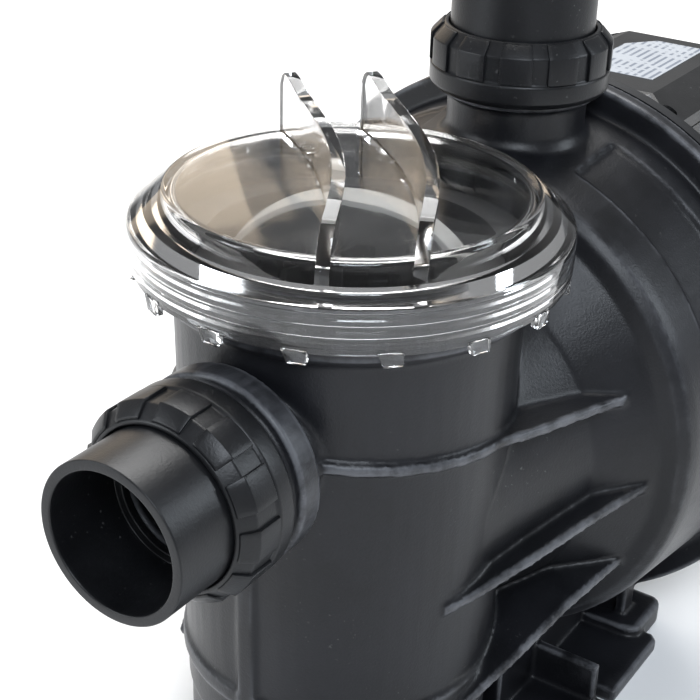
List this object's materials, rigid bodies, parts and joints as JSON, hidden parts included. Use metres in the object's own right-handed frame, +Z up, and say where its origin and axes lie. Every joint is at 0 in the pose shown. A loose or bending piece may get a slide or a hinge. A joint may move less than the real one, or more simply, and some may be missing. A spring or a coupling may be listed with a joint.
{
  "type": "pool pump",
  "caption": "Self-priming pool pump: strainer pot under a clear screw lid with two curved fins, threaded pipe unions on suction and discharge, round volute and fan-cooled motor.",
  "frame": {"origin": "centre of the bounding box on the ground plane", "axes": "+X along the shaft from the suction mouth towards the motor, +Z up along the discharge, +Y completes a right-handed frame"},
  "size_m": [0.6144, 0.322, 0.389],
  "materials": {
    "casing_plastic": "fine satin moulding",
    "clear_plastic": "clear polished polycarbonate",
    "seal_rubber": "matte",
    "basket_plastic": "satin",
    "union_plastic": "satin",
    "inner_plastic": "satin",
    "brass": "turned",
    "ceramic": "lapped",
    "carbon": "lapped",
    "steel": "stainless",
    "bracket_plastic": "satin",
    "motor_paint": "satin enamel",
    "lamination": "rolled sheet stack",
    "winding": "enamelled copper",
    "box_plastic": "satin",
    "can": "drawn",
    "label_film": "printed film"
  },
  "bodies": {
    "casing": {"pump_casing": "casing_plastic", "strainer_basket": "basket_plastic", "basket_handle": "basket_plastic", "suction_seal": "seal_rubber", "discharge_seal": "seal_rubber", "diffuser": "inner_plastic", "diffuser_seal": "seal_rubber", "seal_seat": "ceramic", "seal_plate": "bracket_plastic", "casing_seal": "seal_rubber", "flange_bolts": "steel", "flange_washers": "steel", "bracket_bolts": "steel", "front_end_shield": "motor_paint", "motor_shell": "motor_paint", "stator_core": "lamination", "stator_windings": "winding", "front_bearing_outer": "steel", "rear_bearing_outer": "steel", "wave_washer": "steel", "rear_end_shield": "motor_paint", "tie_rods": "steel", "fan_cover": "bracket_plastic", "fan_cover_screws": "steel", "terminal_box": "box_plastic", "terminal_gasket": "seal_rubber", "terminal_lid": "box_plastic", "terminal_screws": "steel", "terminal_block": "inner_plastic", "run_capacitor": "can", "gland_body": "box_plastic", "gland_seal": "seal_rubber", "gland_nut": "box_plastic", "rating_label": "label_film", "motor_foot": "bracket_plastic"},
    "rotor": {"impeller": "inner_plastic", "impeller_cap": "brass", "seal_head": "carbon", "seal_spring": "steel", "slinger": "seal_rubber", "rotor_core": "lamination", "motor_shaft": "steel", "front_bearing_inner": "steel", "rear_bearing_inner": "steel", "front_bearing_balls": "steel", "rear_bearing_balls": "steel", "cooling_fan": "bracket_plastic"},
    "lid_ring": {"lid_seal": "seal_rubber"},
    "lid": {"strainer_lid": "clear_plastic"},
    "suction_tail": {"suction_tailpiece": "union_plastic"},
    "suction_collar": {"suction_nut": "union_plastic"},
    "discharge_tail": {"discharge_tailpiece": "union_plastic"},
    "discharge_collar": {"discharge_nut": "union_plastic"},
    "pot_drain_ring": {"pot_drain_seal": "seal_rubber"},
    "pot_drain": {"pot_drain_plug": "union_plastic"},
    "volute_drain_ring": {"volute_drain_seal": "seal_rubber"},
    "volute_drain": {"volute_drain_plug": "union_plastic"}
  },
  "joints": [
    {"name": "motor_spin", "type": "hinge", "parent": "casing", "child": "rotor", "pos_m": [0.10885, 0, 0.164], "axis": [1, 0, 0], "continuous": true},
    {"name": "lid_lift", "type": "slide", "parent": "casing", "child": "lid_ring", "axis": [0, 0, 1], "range_m": [0, 0.0201]},
    {"name": "lid_turn", "type": "hinge", "parent": "lid_ring", "child": "lid", "pos_m": [-0.14115, 0, 0.282], "axis": [0, 0, 1], "range_deg": [0, 600]},
    {"name": "suction_union_lift", "type": "slide", "parent": "casing", "child": "suction_tail", "axis": [-1, 0, 0], "range_m": [0, 0.0161]},
    {"name": "suction_union_turn", "type": "hinge", "parent": "suction_tail", "child": "suction_collar", "pos_m": [-0.25115, 0, 0.218], "axis": [-1, 0, 0], "range_deg": [0, 1440]},
    {"name": "discharge_union_lift", "type": "slide", "parent": "casing", "child": "discharge_tail", "axis": [0, 0, 1], "range_m": [0, 0.0161]},
    {"name": "discharge_union_turn", "type": "hinge", "parent": "discharge_tail", "child": "discharge_collar", "pos_m": [0.01135, 0, 0.33], "axis": [0, 0, 1], "range_deg": [0, 1440]},
    {"name": "pot_drain_lift", "type": "slide", "parent": "casing", "child": "pot_drain_ring", "axis": [0, 1, 0], "range_m": [0, 0.0101]},
    {"name": "pot_drain_turn", "type": "hinge", "parent": "pot_drain_ring", "child": "pot_drain", "pos_m": [-0.14115, 0.09, 0.078], "axis": [0, 1, 0], "range_deg": [0, 1800]},
    {"name": "volute_drain_lift", "type": "slide", "parent": "casing", "child": "volute_drain_ring", "axis": [0, 0.8192, -0.5736], "range_m": [0, 0.0101]},
    {"name": "volute_drain_turn", "type": "hinge", "parent": "volute_drain_ring", "child": "volute_drain", "pos_m": [-0.00115, 0, 0.164], "axis": [0, 0.8192, -0.5736], "range_deg": [0, 1800]}
  ],
  "couplings": [
    {"joint": "lid_lift", "follows": "lid_turn", "m_per_rad": 0.0019099},
    {"joint": "suction_union_lift", "follows": "suction_union_turn", "m_per_rad": 0.00063662},
    {"joint": "discharge_union_lift", "follows": "discharge_union_turn", "m_per_rad": 0.00063662},
    {"joint": "pot_drain_lift", "follows": "pot_drain_turn", "m_per_rad": 0.00031831},
    {"joint": "volute_drain_lift", "follows": "volute_drain_turn", "m_per_rad": 0.00031831}
  ]
}
